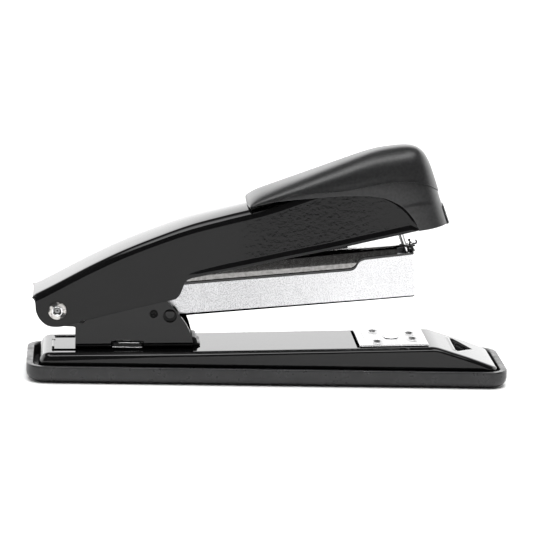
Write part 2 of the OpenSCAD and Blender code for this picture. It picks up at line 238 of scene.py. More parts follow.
def sheet_metal(piece, thickness, edge=0.12, sharp=38):
    """Gives a surface the sheet's thickness on its inside and breaks its cut edges."""
    modifier(piece, "SOLIDIFY", thickness=thickness * MM, offset=-1)
    return break_edges(piece, edge, sharp=sharp)


def extrude(name, ring, levels, at, sharp=38):
    """A closed outline pulled from level to level; at turns a point of it and a level into a place."""
    return loft(name, [[tuple(at(a, b, level)) for a, b in ring] for level in levels],
                closed=True, capped=True, sharp=sharp)


def upright(x, y, z):
    return (x, y, z)


def sideways(x, z, y):
    return (x, y, z)


def prism(name, outline, half, edge=0.0, sharp=38):
    """An outline in X and Z, pulled to both sides of the middle plane."""
    piece = extrude(name, outline, (-half, half), sideways, sharp)
    return break_edges(piece, edge, limit=40, sharp=sharp) if edge else piece


def rectangle(low_a, high_a, low_b, high_b):
    return [(low_a, low_b), (high_a, low_b), (high_a, high_b), (low_a, high_b)]


def turned(name, profile, place, sides=64):
    """A profile of (radius, height) turned about an axis, then placed by a matrix."""
    rows = []
    for k in range(sides):
        a = 2 * math.pi * k / sides
        rows.append([place @ Vector((r * math.cos(a), r * math.sin(a), h)) for r, h in profile])
    rows.append(rows[0])
    return loft(name, rows, sharp=32)


def tube(name, path, radius, sides=10):
    """A round wire along a path."""
    path = [Vector(p) for p in path]
    rings = []
    side = None
    for i, point in enumerate(path):
        ahead = path[min(i + 1, len(path) - 1)] - path[max(i - 1, 0)]
        ahead.normalize()
        if side is None:
            side = ahead.orthogonal().normalized()
        side = (side - ahead * side.dot(ahead)).normalized()
        other = ahead.cross(side)
        rings.append([point + radius * (math.cos(a) * side + math.sin(a) * other)
                      for a in (2 * math.pi * k / sides for k in range(sides))])
    return loft(name, rings, closed=True, capped=True, sharp=60)


def join(name, pieces):
    """Several pieces as one object."""
    merged = bmesh.new()
    for piece in pieces:
        merged.from_mesh(piece.data)
        bpy.data.objects.remove(piece)
    mesh = bpy.data.meshes.new(name)
    merged.to_mesh(mesh)
    merged.free()
    return add_object(name, mesh)


# ---------------------------------------------------------------- materials


def grey(level):
    return (level, level, level)


def add_node(tree, kind, inputs, **settings):
    """A shader node with its settings; each input is a value, or the socket that feeds it."""
    node = tree.nodes.new("ShaderNode" + kind)
    for key, value in settings.items():
        setattr(node, key, value)
    for name, value in inputs.items():
        if isinstance(value, bpy.types.NodeSocket):
            tree.links.new(value, node.inputs[name])
        else:
            node.inputs[name].default_value = value
    return node


class Finish:
    """A procedural material: a principled shader fed by noises in the frame's axes."""

    def __init__(self, name, base, metallic=0.0, roughness=0.4, ior=1.5):
        self.material = bpy.data.materials.new(name)
        self.material.use_nodes = True
        self.tree = self.material.node_tree
        self.shader = self.tree.nodes["Principled BSDF"]
        self.shader.inputs["Base Color"].default_value = (*base, 1)
        self.shader.inputs["Metallic"].default_value = metallic
        self.shader.inputs["Roughness"].default_value = roughness
        self.shader.inputs["IOR"].default_value = ior
        self.where = add_node(self.tree, "TexCoord", {}).outputs["Object"]
        self.last_bump = None

    def noise(self, scale, detail=2.0, stretch=(1, 1, 1)):
        """A noise over the frame's axes; stretch squeezes it along each axis."""
        place = add_node(self.tree, "Mapping", {"Scale": stretch, "Vector": self.where})
        return add_node(self.tree, "TexNoise", {"Scale": scale, "Detail": detail,
                                                "Vector": place.outputs["Vector"]}).outputs[0]

    def ramp(self, source, low, high, start=0.3, end=0.7):
        """Maps a noise between two stops onto two colours or two values."""
        node = add_node(self.tree, "ValToRGB", {"Fac": source})
        for element, position, colour in zip(node.color_ramp.elements, (start, end), (low, high)):
            element.position = position
            element.color = (*(colour if isinstance(colour, tuple) else grey(colour)), 1)
        return node.outputs[0]

    def span(self, start, stop):
        """Nothing before one X and all after the other, both in millimetres."""
        x = add_node(self.tree, "SeparateXYZ", {"Vector": self.where}).outputs["X"]
        return add_node(self.tree, "MapRange", {"Value": x, "From Min": start * MM, "From Max": stop * MM},
                        interpolation_type="SMOOTHSTEP").outputs[0]

    def mixed(self, share, low, high):
        """A blend of two sources or colours."""
        low, high = ((*c, 1) if isinstance(c, tuple) else c for c in (low, high))
        return add_node(self.tree, "Mix", {"Factor": share, "A": low, "B": high},
                        data_type="RGBA").outputs["Result"]

    def feed(self, socket, source):
        self.tree.links.new(source, self.shader.inputs[socket])

    def bump(self, source, depth, strength=1.0):
        """Relief of that depth in millimetres, added to what is there."""
        inputs = {"Strength": strength, "Distance": depth * MM, "Height": source}
        if self.last_bump:
            inputs["Normal"] = self.last_bump
        self.last_bump = add_node(self.tree, "Bump", inputs).outputs["Normal"]
        self.feed("Normal", self.last_bump)


def black_paint(name, ior, rippled=False):
    """Gloss stoved enamel: slight orange peel and a few dust nibs; on the handle it lies in ripples."""
    f = Finish(name, grey(0.003), ior=ior)
    f.feed("Base Color", f.ramp(f.noise(60, 3), (0.002, 0.002, 0.0022), (0.004, 0.004, 0.0042)))
    sheen = f.ramp(f.noise(130, 4), 0.03, 0.08)
    f.bump(f.noise(420, 2), 0.03, 0.35)
    f.bump(f.ramp(f.noise(1500, 1), 0.0, 1.0, 0.72, 0.8), 0.02, 0.3)
    if rippled:
        where = f.mixed(f.span(-26, 2), grey(0), f.mixed(f.span(24, 60), grey(1), grey(0.3)))
        sheen = f.mixed(where, sheen, grey(0.26))
        f.bump(f.noise(480, 3, (1, 1, 1.2)), 0.42, where)
    f.feed("Roughness", sheen)
    return f.material


def noisy_finish(name, base, tones, sheen, relief, metallic=0.0, ior=1.5):
    """A finish from three noises, each given by its settings: tones and sheen go on with their two ends,
    relief with its depth and strength."""
    f = Finish(name, base, metallic, ior=ior)
    if tones:
        f.feed("Base Color", f.ramp(f.noise(*tones[0]), *tones[1:]))
    f.feed("Roughness", f.ramp(f.noise(*sheen[0]), *sheen[1:]))
    f.bump(f.noise(*relief[0]), *relief[1:])
    return f.material


def zinc_plate():
    """Bright zinc plate with dark pores and fine sparkling grains, and painted shade that darkens it
    towards the hinge, under the handle.
    """
    f = Finish("zinc_plate", (0.7, 0.7, 0.71), metallic=1.0)
    grains = f.noise(2300, 3)
    # The rear tones are darker than the front ones: painted shade from the handle above the rear of the
    # magazine.
    rear = f.ramp(grains, (0.36, 0.36, 0.37), (0.72, 0.72, 0.73), 0.34, 0.56)
    front = f.ramp(grains, (0.6, 0.6, 0.61), (0.87, 0.87, 0.88), 0.34, 0.54)
    f.feed("Base Color", f.mixed(f.span(-20, 50), rear, front))
    f.feed("Roughness", f.ramp(f.noise(700, 3), 0.28, 0.46))
    f.bump(f.noise(1500, 3), 0.03, 0.5)
    f.bump(f.noise(160, 2, (0.2, 1, 1)), 0.02, 0.3)
    return f.material


def plated_steel(name, tone, rough_low, rough_high, grain=(0.06, 1, 1)):
    """Plated or polished steel with faint drawing lines and handling marks."""
    return noisy_finish(name, grey(tone), ((220, 4), grey(tone * 0.86), (tone, tone, tone * 1.01)),
                        ((900, 4, grain), rough_low, rough_high), ((1400, 2, grain), 0.006, 0.4),
                        metallic=1.0)


def worn_washer():
    """Zinc that still carries black paint in patches."""
    f = Finish("worn_washer", grey(0.5))
    wear = f.ramp(f.noise(330, 3), 0.0, 1.0, 0.46, 0.54)
    f.feed("Base Color", f.mixed(wear, grey(0.01), (0.62, 0.6, 0.58)))
    f.feed("Metallic", wear)
    f.feed("Roughness", f.ramp(f.noise(1300, 3), 0.25, 0.5))
    f.bump(f.noise(900, 3), 0.05, 0.5)
    return f.material


PAINT = black_paint("black_paint", 1.43)
HANDLE_PAINT = black_paint("handle_paint", 1.37, rippled=True)
HANDLE_EDGE = black_paint("handle_edge", 1.37)
# Satin moulding with a fine spark texture, polished a little where hands rub it.
CAP = noisy_finish("cap_plastic", (0.015, 0.015, 0.0155),
                   ((900, 2), (0.011, 0.011, 0.0115), (0.022, 0.022, 0.0225)),
                   ((45, 3), 0.3, 0.38), ((2600, 3), 0.03, 0.5))
# Soft moulded tray with a grain that glints where its rim lies flat.
PAD = noisy_finish("pad_plastic", (0.02, 0.02, 0.021),
                   ((70, 3), (0.016, 0.016, 0.017), (0.024, 0.024, 0.025)),
                   ((300, 3), 0.24, 0.46), ((1300, 2), 0.03, 0.5), ior=1.48)
ZINC = zinc_plate()
# Drawn steel with fine upright brush marks.
COVER = noisy_finish("cover_plate", (0.28, 0.274, 0.268),
                     ((700, 3), (0.19, 0.186, 0.181), (0.33, 0.324, 0.317)),
                     ((900, 3, (1, 0.3, 0.12)), 0.1, 0.2), ((1500, 2, (1, 0.4, 0.25)), 0.02, 0.5),
                     metallic=1.0)
ANVIL = plated_steel("anvil_plating", 0.4, 0.2, 0.38, (1, 0.08, 1))
# Dark steel laid along the magazine channel's upper edges and under its bottom bend: painted shade and
# painted dark reflection.
SHADE_STEEL = plated_steel("painted_shade_steel", 0.06, 0.12, 0.25, (0.1, 1, 1))
DULL = plated_steel("dull_steel", 0.32, 0.25, 0.4)
WORN = worn_washer()
# Oiled black steel that takes little light.
BLACKENED = noisy_finish("blackened_steel", grey(0.012), ((700, 3), grey(0.008), grey(0.02)),
                         ((500, 3), 0.3, 0.5), ((1200, 2), 0.01, 0.4), ior=1.3)
BRIGHT = plated_steel("bright_steel", 0.86, 0.12, 0.26)
SPRING = plated_steel("spring_steel", 0.5, 0.22, 0.38, (0.3, 1, 1))
STAPLE = plated_steel("staple_wire", 0.8, 0.25, 0.4, (1, 1, 0.1))
# Slick black moulding.
PUSHER = noisy_finish("pusher_plastic", grey(0.02), None, ((300, 3), 0.25, 0.36), ((900, 2), 0.02, 0.3))


def paint(piece, material):
    piece.data.materials.clear()
    piece.data.materials.append(material)
    return piece


def place(piece, material, body, *replaced):
    """Finishes a new piece: its material, its body and the nodes it stands for."""
    paint(piece, material)
    if body:
        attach(piece, body)
    if replaced:
        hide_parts(*replaced)
    return piece


def keep_node(name, material, edge=0.12):
    """Shows a CAD node as it is, with broken edges and a material."""
    node = nodes[name]
    paint(node, material)
    modifier(node, "WELD", merge_threshold=1e-6)
    modifier(node, "BEVEL", width=edge * MM, segments=2, limit_method="ANGLE",
             angle_limit=math.radians(35), harden_normals=True)
    return node


# ---------------------------------------------------------------- sizes that the pieces share

PIVOT = Vector(joints["magazine_hinge"]["pos_m"]) / MM
MAG_DIR = -Vector(joints["pusher_slide"]["axis"])
MAG_UP = Vector((-MAG_DIR.z, 0, MAG_DIR.x))
ANVIL_UP = Vector(joints["anvil_turn"]["axis"])
pad_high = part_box("base_pad")[1] / MM
shell_low, shell_high = (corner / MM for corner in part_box("base_shell"))
PAD_HALF_L = pad_high.x
PAD_HALF_W = pad_high.y
RIM_Z = pad_high.z
SHELL_Z = shell_low.z
ANVIL_FOOT = Vector(joints["anvil_turn"]["pos_m"]) / MM


def in_magazine(x, y, z):
    """A point given along, across and above the magazine, from the pivot."""
    return PIVOT + MAG_DIR * x + Vector((0, y, 0)) + MAG_UP * z


def across_magazine(y, z, x):
    return in_magazine(x, y, z)


# ---------------------------------------------------------------- base pad

FLOOR_Z = SHELL_Z - 0.05
PAD_RADIUS = 8.0
PAD_END_WALL = 3.1
PAD_SIDE_WALL = 2.0
BUTTON_X = 54.0
BUTTON_R = 7.0


def rounded_ring(half_l, half_w, radius, z, steps=14):
    """A rectangle with round corners, as a ring of points at one height."""
    ring = []
    for sx, sy, start in ((1, 1, 0), (-1, 1, 90), (-1, -1, 180), (1, -1, 270)):
        for x, y in arc((sx * (half_l - radius), sy * (half_w - radius)), radius, start, start + 90, steps):
            ring.append((x, y, z))
    return ring


def base_pad():
    """The moulded tray: a rolled rim outside, a flat floor with the finger hole under the anvil."""
    outside = [(4.0, 0), (2.8, 0.16), (1.7, 0.65), (0.8, 1.5), (0.3, 2.5), (0.05, 3.6), (0, 4.5),
               (0, RIM_Z - 0.7), (0.08, RIM_Z - 0.33), (0.28, RIM_Z - 0.08), (0.55, RIM_Z)]
    inside = [(0.8, RIM_Z - 0.02), (0.92, RIM_Z - 0.2), (0.98, RIM_Z - 0.6), (1, RIM_Z - 1.5),
              (1, FLOOR_Z)]
    rows = [rounded_ring(PAD_HALF_L - inset, PAD_HALF_W - inset, PAD_RADIUS - inset, z)
            for inset, z in outside]
    rows += [rounded_ring(PAD_HALF_L - PAD_END_WALL * share, PAD_HALF_W - PAD_SIDE_WALL * share,
                          PAD_RADIUS - PAD_SIDE_WALL * share, z) for share, z in inside]
    pad = loft("pad_tray", rows, closed=True, capped=True, sharp=50)
    hole = turned("hole", [(0, -2), (BUTTON_R, -2), (BUTTON_R, FLOOR_Z + 1), (0, FLOOR_Z + 1)],
                  Matrix.Translation((BUTTON_X, 0, 0)))
    cut(pad, hole)
    break_edges(pad, 0.3, limit=60, sharp=50)
    return place(pad, PAD, "base", "base_pad")


# ---------------------------------------------------------------- base shell

KINK_X, KINK_Z = -32.0, 13.4
REAR_RISE, FRONT_RISE = 0.0242, 0.0335
SHELL_BACK, SHELL_FRONT = shell_low.x, shell_high.x
CREST_X = 70.0
TOP_HALF = 14.5
SIDE_HALF = 17.3
FOOT_HALF = shell_high.y - 0.1
SHELL_SHEET = 0.8
SLOT_X = 38.1
SLOT_HALF = 0.55


def base_top(x):
    """Height of the base's top at x, on its straight stretches."""
    return KINK_Z + (REAR_RISE if x < KINK_X else FRONT_RISE) * (x - KINK_X)


def shell_side_line():
    """The base's top line from the side, from its rear foot over the crest to its front foot."""
    back = SHELL_BACK + 0.05
    front = SHELL_FRONT - 0.03
    line = [(back, SHELL_Z), (back, SHELL_Z + 1.6)]
    line += [tuple(p) for p in spline([(back, 5.4), (back + 0.35, 7.4), (back + 0.9, 9.1),
                                       (back + 1.8, 10.6), (back + 3, 11.5), (back + 4.4, 11.92),
                                       (back + 6, base_top(back + 6))], 4)]
    line += [(x, base_top(x)) for x in np.arange(back + 8, CREST_X - 2.5, 2.0)]
    line += [tuple(p) for p in spline([(CREST_X - 2, base_top(CREST_X - 2)), (CREST_X, 16.84), (72.4, 16.5),
                                       (75.5, 15.62), (79.5, 14.38), (86, 12.38), (92.5, 10.15),
                                       (96.6, 8.62), (97.8, 7.95), (front - 0.35, 7.1), (front, 5.9)], 9)]
    line += [(front, 4.4), (front, SHELL_Z)]
    return line


def plan_half(x, half, radius):
    """Half width at x of an outline whose ends have round corners."""
    over = max(0.0, x - (SHELL_FRONT - radius), (SHELL_BACK + radius) - x)
    return half - radius + math.sqrt(max(0.0, radius**2 - min(over, radius)**2))


def front_recess(x, y):
    """Depth of the three-cornered stamped recess in the front slope, behind a low ridge across it."""
    corners = [(80.9, 12.0), (80.9, -10.4), (89.4, 2.9)]
    inside = 9.0
    for (x0, y0), (x1, y1) in zip(corners, corners[1:] + corners[:1]):
        length = math.hypot(x1 - x0, y1 - y0)
        inside = min(inside, ((x1 - x0) * (y - y0) - (y1 - y0) * (x - x0)) / length)
    depth = 2.2 * min(1.0, max(0.0, inside / 1.5))
    ridge = 0.3 * math.exp(-((x - 79.9) / 0.4) ** 2) * min(1.0, max(0.0, (11.3 - abs(y - 0.2)) / 1.0))
    return depth - ridge


def base_shell():
    """The pressed base: a flat top, a round edge and sides that swell out to a straight foot."""
    across = np.linspace(-1, 1, 61)
    # Tilts of the edge from flat to upright in degrees, each with its share of the edge's drop.
    tilts = [(84, 0.01), (72, 0.03), (62, 0.06), (54, 0.09), (47, 0.08), (42, 0.04), (37, 0.06), (30, 0.13),
             (22, 0.13), (16, 0.13), (11, 0.12), (6, 0.12)]
    reach = sum(share * math.tan(math.radians(tilt)) for tilt, share in tilts)
    rows = []
    for x, z in shell_side_line():
        half = plan_half(x, TOP_HALF, 3.5 if x > 0 else 5.5)
        wall = plan_half(x, SIDE_HALF, 5.5)
        foot = plan_half(x, FOOT_HALF, 6)
        room = min(1.0, max(0.0, (z - SHELL_Z) / 5))
        drop = float(np.interp(x, (-88, -45, 40), (3.3, 1.9, 1.6))) * room
        squeeze = (wall - half) / (drop * reach) if drop > 0 else 0.0
        y0, z0 = half, z
        edge = []
        for tilt, share in tilts:
            y0 += drop * share * math.tan(math.radians(tilt)) * squeeze
            z0 -= drop * share
            edge.append((y0, z0))
        low = max(SHELL_Z, min(z0, 6.1 + 0.14 * math.sin(x / 3.9) + 0.1 * math.sin(x / 7.1 + 1)))
        edge += [(wall, z0 + (low - z0) * t) for t in (0.25, 0.5, 0.75, 1)]
        edge += [(wall + 0.3 * (foot - wall), low + 0.3 * (SHELL_Z - low)),
                 (foot, low + 0.6 * (SHELL_Z - low)), (foot, SHELL_Z)]
        row = [(x, -y, zz) for y, zz in reversed(edge)]
        row += [(x, half * t, z - front_recess(x, half * t)) for t in across]
        row += [(x, y, zz) for y, zz in edge]
        rows.append(row)
    shell = thicken(loft("base_pressing", rows, sharp=45), SHELL_SHEET)
    slot_z = base_top(SLOT_X)
    slot = rectangle(SLOT_X - SLOT_HALF, SLOT_X + SLOT_HALF, slot_z - 3, slot_z + 2)
    cut(shell, prism("slot", slot, TOP_HALF - 0.3))
    break_edges(shell, 0.15, limit=55, sharp=45)
    return place(shell, PAINT, "base", "base_shell")


# ---------------------------------------------------------------- anvil

PLATE_LEN, PLATE_W = 29.6, 27.0
PLATE_TOP = 0.72
HOLLOWS = [(-6.9, 8.9), (-6.8, -8.3), (8.5, 4.3), (8.8, -4.6)]


def on_anvil(x, y, z):
    """A point given along, across and above the anvil, from the middle of the base's top under it."""
    ahead = Vector((ANVIL_UP.z, 0, -ANVIL_UP.x))
    return ANVIL_FOOT + ahead * x + Vector((0, y, 0)) + ANVIL_UP * z


def anvil_plate():
    """The plate with its crimping hollows: a field of heights with a round edge."""
    xs = np.linspace(-PLATE_LEN / 2, PLATE_LEN / 2, 149)
    ys = np.linspace(-PLATE_W / 2, PLATE_W / 2, 137)
    rows = []
    for x in xs:
        row = []
        for y in ys:
            near_edge = min(PLATE_LEN / 2 - abs(x), PLATE_W / 2 - abs(y))
            z = PLATE_TOP - 0.3 * max(0.0, 1 - near_edge / 0.45) ** 2
            for hx, hy in HOLLOWS:
                r = math.hypot((x - hx) / 1.9, (y - hy) / 3.0)
                z -= 0.55 * min(1.0, max(0.0, (1.08 - r) / 0.3)) ** 1.5
                z += 0.14 * math.exp(-((r - 1.2) / 0.1) ** 2)
            z -= 0.4 * math.exp(-((math.hypot(x, y) - 3.45) / 0.3) ** 2)
            row.append(tuple(on_anvil(x, y, z)))
        rows.append(row)
    top = thicken(loft("anvil_face", rows, sharp=70), 0.3)
    shade(top.data, 60)
    return place(top, ANVIL, "anvil", "anvil_plate")


def anvil_post():
    """The shank with its riveted head, punched in the middle, and the button under the base.

    It is shown beside the CAD's own post, which no piece is declared to replace.
    """
    tilt = Vector((0, 0, 1)).rotation_difference(ANVIL_UP).to_matrix().to_4x4()
    base = Matrix.Translation(ANVIL_FOOT) @ tilt
    top = PLATE_TOP + 0.3
    profile = [(0, top - 0.45), (0.5, top - 0.38), (0.75, top - 0.05), (1.0, top), (2.4, top - 0.02),
               (2.9, top - 0.1), (3.1, top - 0.25), (3.1, PLATE_TOP + 0.02), (2, PLATE_TOP + 0.02),
               (2, -10.6), (5.2, -10.6), (5.5, -10.85), (5.5, -11.9), (5.2, -12.2), (0, -12.2)]
    return place(turned("anvil_stud", profile, base), BRIGHT, "anvil_post")


# ---------------------------------------------------------------- hinge bracket and pivot

BRACKET_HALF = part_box("hinge_bracket")[1].y / MM
BRACKET_SHEET = 1.3
BEND_R = 3.3
WALL_X = -82.0
PIVOT_HOLE_R = 2.0
RIVET_X, RIVET_Z = -49.2, 28.5
PIN_X = -42.3


def bracket():
    """The folded bracket: two walls on a floor plate, with windows for the base's lugs."""
    rows = []
    for x in (-97, KINK_X, -31.9):
        foot = base_top(x) + 0.03
        flat = BRACKET_HALF - BEND_R
        side = [(BRACKET_HALF, foot + z) for z in (26, 16, 9, 6)]
        side += [(flat + BEND_R * math.cos(a), foot + BEND_R + BEND_R * math.sin(a))
                 for a in np.radians(np.linspace(0, -90, 12))]
        rows.append(both_halves(x, side))
    body = thicken(loft("bracket_body", rows, sharp=60), BRACKET_SHEET)
    front = spline([(-32.0, 14.6), (-32.1, 15.6), (-32.5, 17.4), (-33.5, 20.6), (-35.2, 24),
                    (-38, 27.8), (-40.8, 31.1), (-43.8, 34.1), (-46.5, 36.2)], 4)
    outline = [(WALL_X, 8), (-32.0, 8)] + [tuple(p) for p in front] + [(-60, 37.6), (WALL_X, 37)]
    outline += arc((PIVOT.x, PIVOT.z), 7, 96, 262, 22)
    outline += [(WALL_X - 1, 22.4), (WALL_X, 22.0)]
    mask = prism("mask", outline, BRACKET_HALF + 2)
    modifier(body, "BOOLEAN", operation="INTERSECT", solver="EXACT", object=mask)
    bake(body)
    bpy.data.objects.remove(mask)
    for x, z, radius in ((PIVOT.x, PIVOT.z, PIVOT_HOLE_R), (RIVET_X, RIVET_Z, 1.75), (PIN_X, 27.7, 2.9),
                         (-79.4, 25.6, 1.7)):
        cut(body, cross_hole(x, z, radius))
    window = round_corners([(-67, 12.7), (-53, 12.7), (-53, 16.7), (-67, 16.7)], 1.0)
    for side in (-1, 1):
        cut(body, extrude("opening", window, (side * 8.6, side * 12.6), sideways))
    break_edges(body, 0.42, segments=3)
    deck = [(-91.9, 9.0), (-91.9, -9.6), (-91.2, -10.6), (WALL_X + 0.6, -10.9), (WALL_X + 0.6, 10.9),
            (-91.2, 10.2)]
    low = base_top(-87) + 0.04
    plate = extrude("plate", round_corners(deck, 0.8), (0, 0.5),
                    lambda x, y, rise: (x, y, low + rise + REAR_RISE * (x + 87)))
    cut(plate, turned("notch", [(0, 8), (1.2, 8), (1.2, 18), (0, 18)],
                      Matrix.Translation((-91.6, 3.5, 0)), sides=24))
    break_edges(plate, 0.15)
    top = low + 0.5 + REAR_RISE * (-91.2 + 87)
    roll = tube("roll", [(-91.3, y, top + 0.12) for y in (-8.8, -5.5, -2, 1.5)], 0.55, 12)
    lips = [roll, tube("lip", [(-90.6, 8.6, top + 0.05), (WALL_X + 0.4, 8.6, top + 0.3)], 0.42, 12),
            tube("edge", [(-90.9, 10.6, top - 0.1), (WALL_X + 0.4, 10.8, top + 0.1)], 0.4, 12)]
    body = join("folded_bracket", [body, plate] + lips)
    place(body, PAINT, "base", "hinge_bracket")
    tab = prism("front_tongue", [(-32.4, 13.5), (-29.0, 13.45), (-28.8, 14.3), (-30.0, 14.7), (-30.6, 16.6),
                                 (-31.3, 17.2), (-32.4, 17.2)], 6.0, edge=0.3)
    return place(tab, BLACKENED, "base", "hinge_bracket")


def cross_hole(x, z, radius):
    """A round cutter right across the stapler."""
    turn = Matrix.Translation((x, 0, z)) @ Matrix.Rotation(math.pi / 2, 4, "X")
    return turned("hole", [(0, -30), (radius, -30), (radius, 30), (0, 30)], turn, sides=48)


def both_sides(name, x, z, profile):
    """A turned form of (radius, distance from the middle plane), on each side of the stapler."""
    pieces = []
    for side in (-1, 1):
        turn = Matrix.Translation((x, 0, z)) @ Matrix.Rotation(-side * math.pi / 2, 4, "X")
        pieces.append(turned(name, profile, turn, sides=48))
    return join(name, pieces)


def bracket_details():
    """The lugs in the windows with bright steel ledges as their painted highlights, the hollow wall rivets,
    and the spring's pins with their flanges.
    """
    lugs = []
    highlight_ledges = []
    for side in (-1, 1):
        ring = round_corners([(9.6, 12.9), (10.6, 12.9), (10.3, 15.6), (9.6, 15.9)], 0.3, 3)
        lugs.append(extrude("lug", ring, (-65.9, -54.1), lambda y, z, x: (x, side * y, z), sharp=60))
        # Bright plated ledges along the lugs' edges: painted highlight lines on the black tabs.
        for x0, x1, y, z, deep in ((-66.3, -53.7, 10.5, 13.9, 1.5), (-63.6, -55.0, 10.2, 15.75, 0.9)):
            ring = round_corners(rectangle(y - deep / 2, y + deep / 2, z - 0.3, z), 0.1, 3)
            highlight_ledges.append(extrude("ledge", ring, (x0, x1), lambda y, z, x: (x, side * y, z), sharp=60))
    place(join("window_lugs", lugs), BLACKENED, "base", "base_tabs")
    place(join("lug_highlight_ledges", highlight_ledges), BRIGHT, "base", "base_tabs")
    face = BRACKET_HALF
    rivet = [(0, face - 1.5), (0.7, face - 1.5), (0.8, face - 0.7), (1.15, face - 0.35), (1.5, face - 0.5),
             (1.7, face - 0.9), (1.7, face - 1.32), (2.6, face - 1.32), (2.6, face - 2.2), (0, face - 2.2)]
    place(both_sides("hollow_rivets", RIVET_X, RIVET_Z, rivet), BLACKENED, "base", "wall_rivets")
    pin = [(0, face - 0.12), (1.7, face - 0.12), (1.95, face - 0.22), (2.05, face - 0.45),
           (2.05, face - 1.33)]
    place(both_sides("pin_ends", PIN_X, 28.5, pin), PAINT, "base", "spring_pins")
    flange = [(2.05, face - 1.33), (3.6, face - 1.33), (3.6, face - 2.3), (0, face - 2.3)]
    place(both_sides("pin_flanges", PIN_X, 28.1, flange), BLACKENED, "base", "spring_pins")


def pivot():
    """The hollow pivot rivet with its rolled rims and punched ends, on worn washers."""
    rim = [(1.5, 12.7), (1.58, 13.2), (1.95, 13.49), (2.28, 13.42), (2.4, 13.22), (2.4, 13.08),
           (1.93, 13.05)]
    profile = rim + [(r, -h) for r, h in reversed(rim)]
    turn = Matrix.Translation(PIVOT) @ Matrix.Rotation(math.pi / 2, 4, "X")
    place(turned("hollow_pivot", profile, turn), BRIGHT, "base", "pivot_rivet")
    core = [(0, 12.5), (0.25, 12.4), (0.45, 12.62), (0.8, 12.7), (1.15, 12.6), (1.4, 12.3), (1.52, 12.2)]
    profile = core + [(r, -h) for r, h in reversed(core)]
    place(turned("pivot_core", profile, turn), DULL, "base", "pivot_rivet")
    washer = [(2.0, 12.56), (2.0, 13.02), (3.55, 13.05), (3.75, 12.98), (3.85, 12.8), (3.85, 12.56)]
    place(both_sides("pivot_rings", PIVOT.x, PIVOT.z, washer), WORN, "base", "pivot_washers")


# ---------------------------------------------------------------- magazine

MAG_HALF = 8.2
MAG_SHEET = 0.8
MAG_FRONT = 152.5
MAG_BOTTOM = -8.3
REAR_LIFT = 1.5
# Depth of the painted shade band along the top of the channel's walls.
SHADE_BAND_H = 0.95
# The wall's upper edge, along and above the magazine.
WALL_TOP = [(-6, 3), (-5.6, 4.2), (-4.6, 5.5), (-2.5, 6.4), (0, 6.5), (124.2, 6.5), (125.4, 6.58),
            (126.4, 6.9), (127.3, 7.6), (128.0, 8.7), (128.7, 9.7), (129.7, 10.4), (131.4, 10.8),
            (MAG_FRONT, 11.45)]


def channel():
    """The magazine's channel: walls with a step near the front, a round bend below, a closed front."""
    xs = sorted(set([x for x, _ in WALL_TOP if x < 150] + list(np.arange(4, 124, 8.0)) + [140, 146, 150.7]))
    wall = np.array(WALL_TOP)
    corner = 1.8
    rear_radius = -MAG_BOTTOM - REAR_LIFT

    def section(x, half):
        top = float(height_on(wall, x))
        bend = float(np.interp(x, (6, 24, 40, 130), (0.9, 2.3, 2.3, 1.5)))
        ahead = max(0.0, x - (MAG_FRONT - corner))
        foot = MAG_BOTTOM + corner - math.sqrt(max(0.0, corner ** 2 - ahead ** 2))
        foot += float(np.interp(x, (4, 12), (REAR_LIFT, 0)))
        foot += rear_radius - math.sqrt(rear_radius ** 2 - min(0.0, x) ** 2)
        side = [(half, top), (half, top - SHADE_BAND_H)]
        side += [(half, foot + bend + (top - SHADE_BAND_H - foot - bend) * t) for t in (0.75, 0.5, 0.25, 0)]
        flat = max(0.0, half - bend)
        side += [(flat + (half - flat) * math.cos(a), foot + bend + bend * math.sin(a))
                 for a in np.radians(np.linspace(0, -90, 9)[1:])]
        return both_halves(x, side + [(flat / 2, foot)], foot, in_magazine)

    rows = [section(x, MAG_HALF) for x in xs]
    start = MAG_FRONT - corner
    for a in np.radians(np.linspace(0, 90, 8)[1:]):
        rows.append(section(start + corner * math.sin(a), MAG_HALF - corner + corner * math.cos(a)))
    rows += [section(MAG_FRONT, (MAG_HALF - corner) * t) for t in (0.7, 0.45, 0.2)]
    body = thicken(loft("channel_body", rows, sharp=40), MAG_SHEET)
    cut(body, extrude("slot", rectangle(148.3, 150.8, -6.6, 6.6), (-10, -5.5), in_magazine))
    cut(body, cross_hole(PIVOT.x, PIVOT.z, PIVOT_HOLE_R))
    break_edges(body, 0.28, segments=3, limit=55, sharp=50)
    place(body, ZINC, "magazine", "magazine_channel")
    top = float(height_on(wall, MAG_FRONT))
    web = extrude("channel_front", rectangle(-2, 2, MAG_BOTTOM + 1.9, top - 0.1),
                  (MAG_FRONT - MAG_SHEET, MAG_FRONT - 0.06), across_magazine)
    place(break_edges(web, 0.06), ZINC, "magazine", "magazine_channel")
    # The walls' top bands take the dark steel as painted shade, and the faces under the bottom bend take it
    # as painted dark reflection.
    body.data.materials.append(SHADE_STEEL)
    for poly in body.data.polygons:
        at = poly.center / MM - PIVOT
        above = at.dot(MAG_UP)
        upper = above > float(height_on(wall, at.dot(MAG_DIR))) - SHADE_BAND_H
        if abs(at.y) > 5 and (upper or poly.normal.dot(MAG_UP) < -0.42 and above < -5):
            poly.material_index = 1


COVER_TOP = 14.1
COVER_HALF = 7.3
COVER_SHEET = 0.6
COVER_END = 145.4
EAR_RADIUS = 5


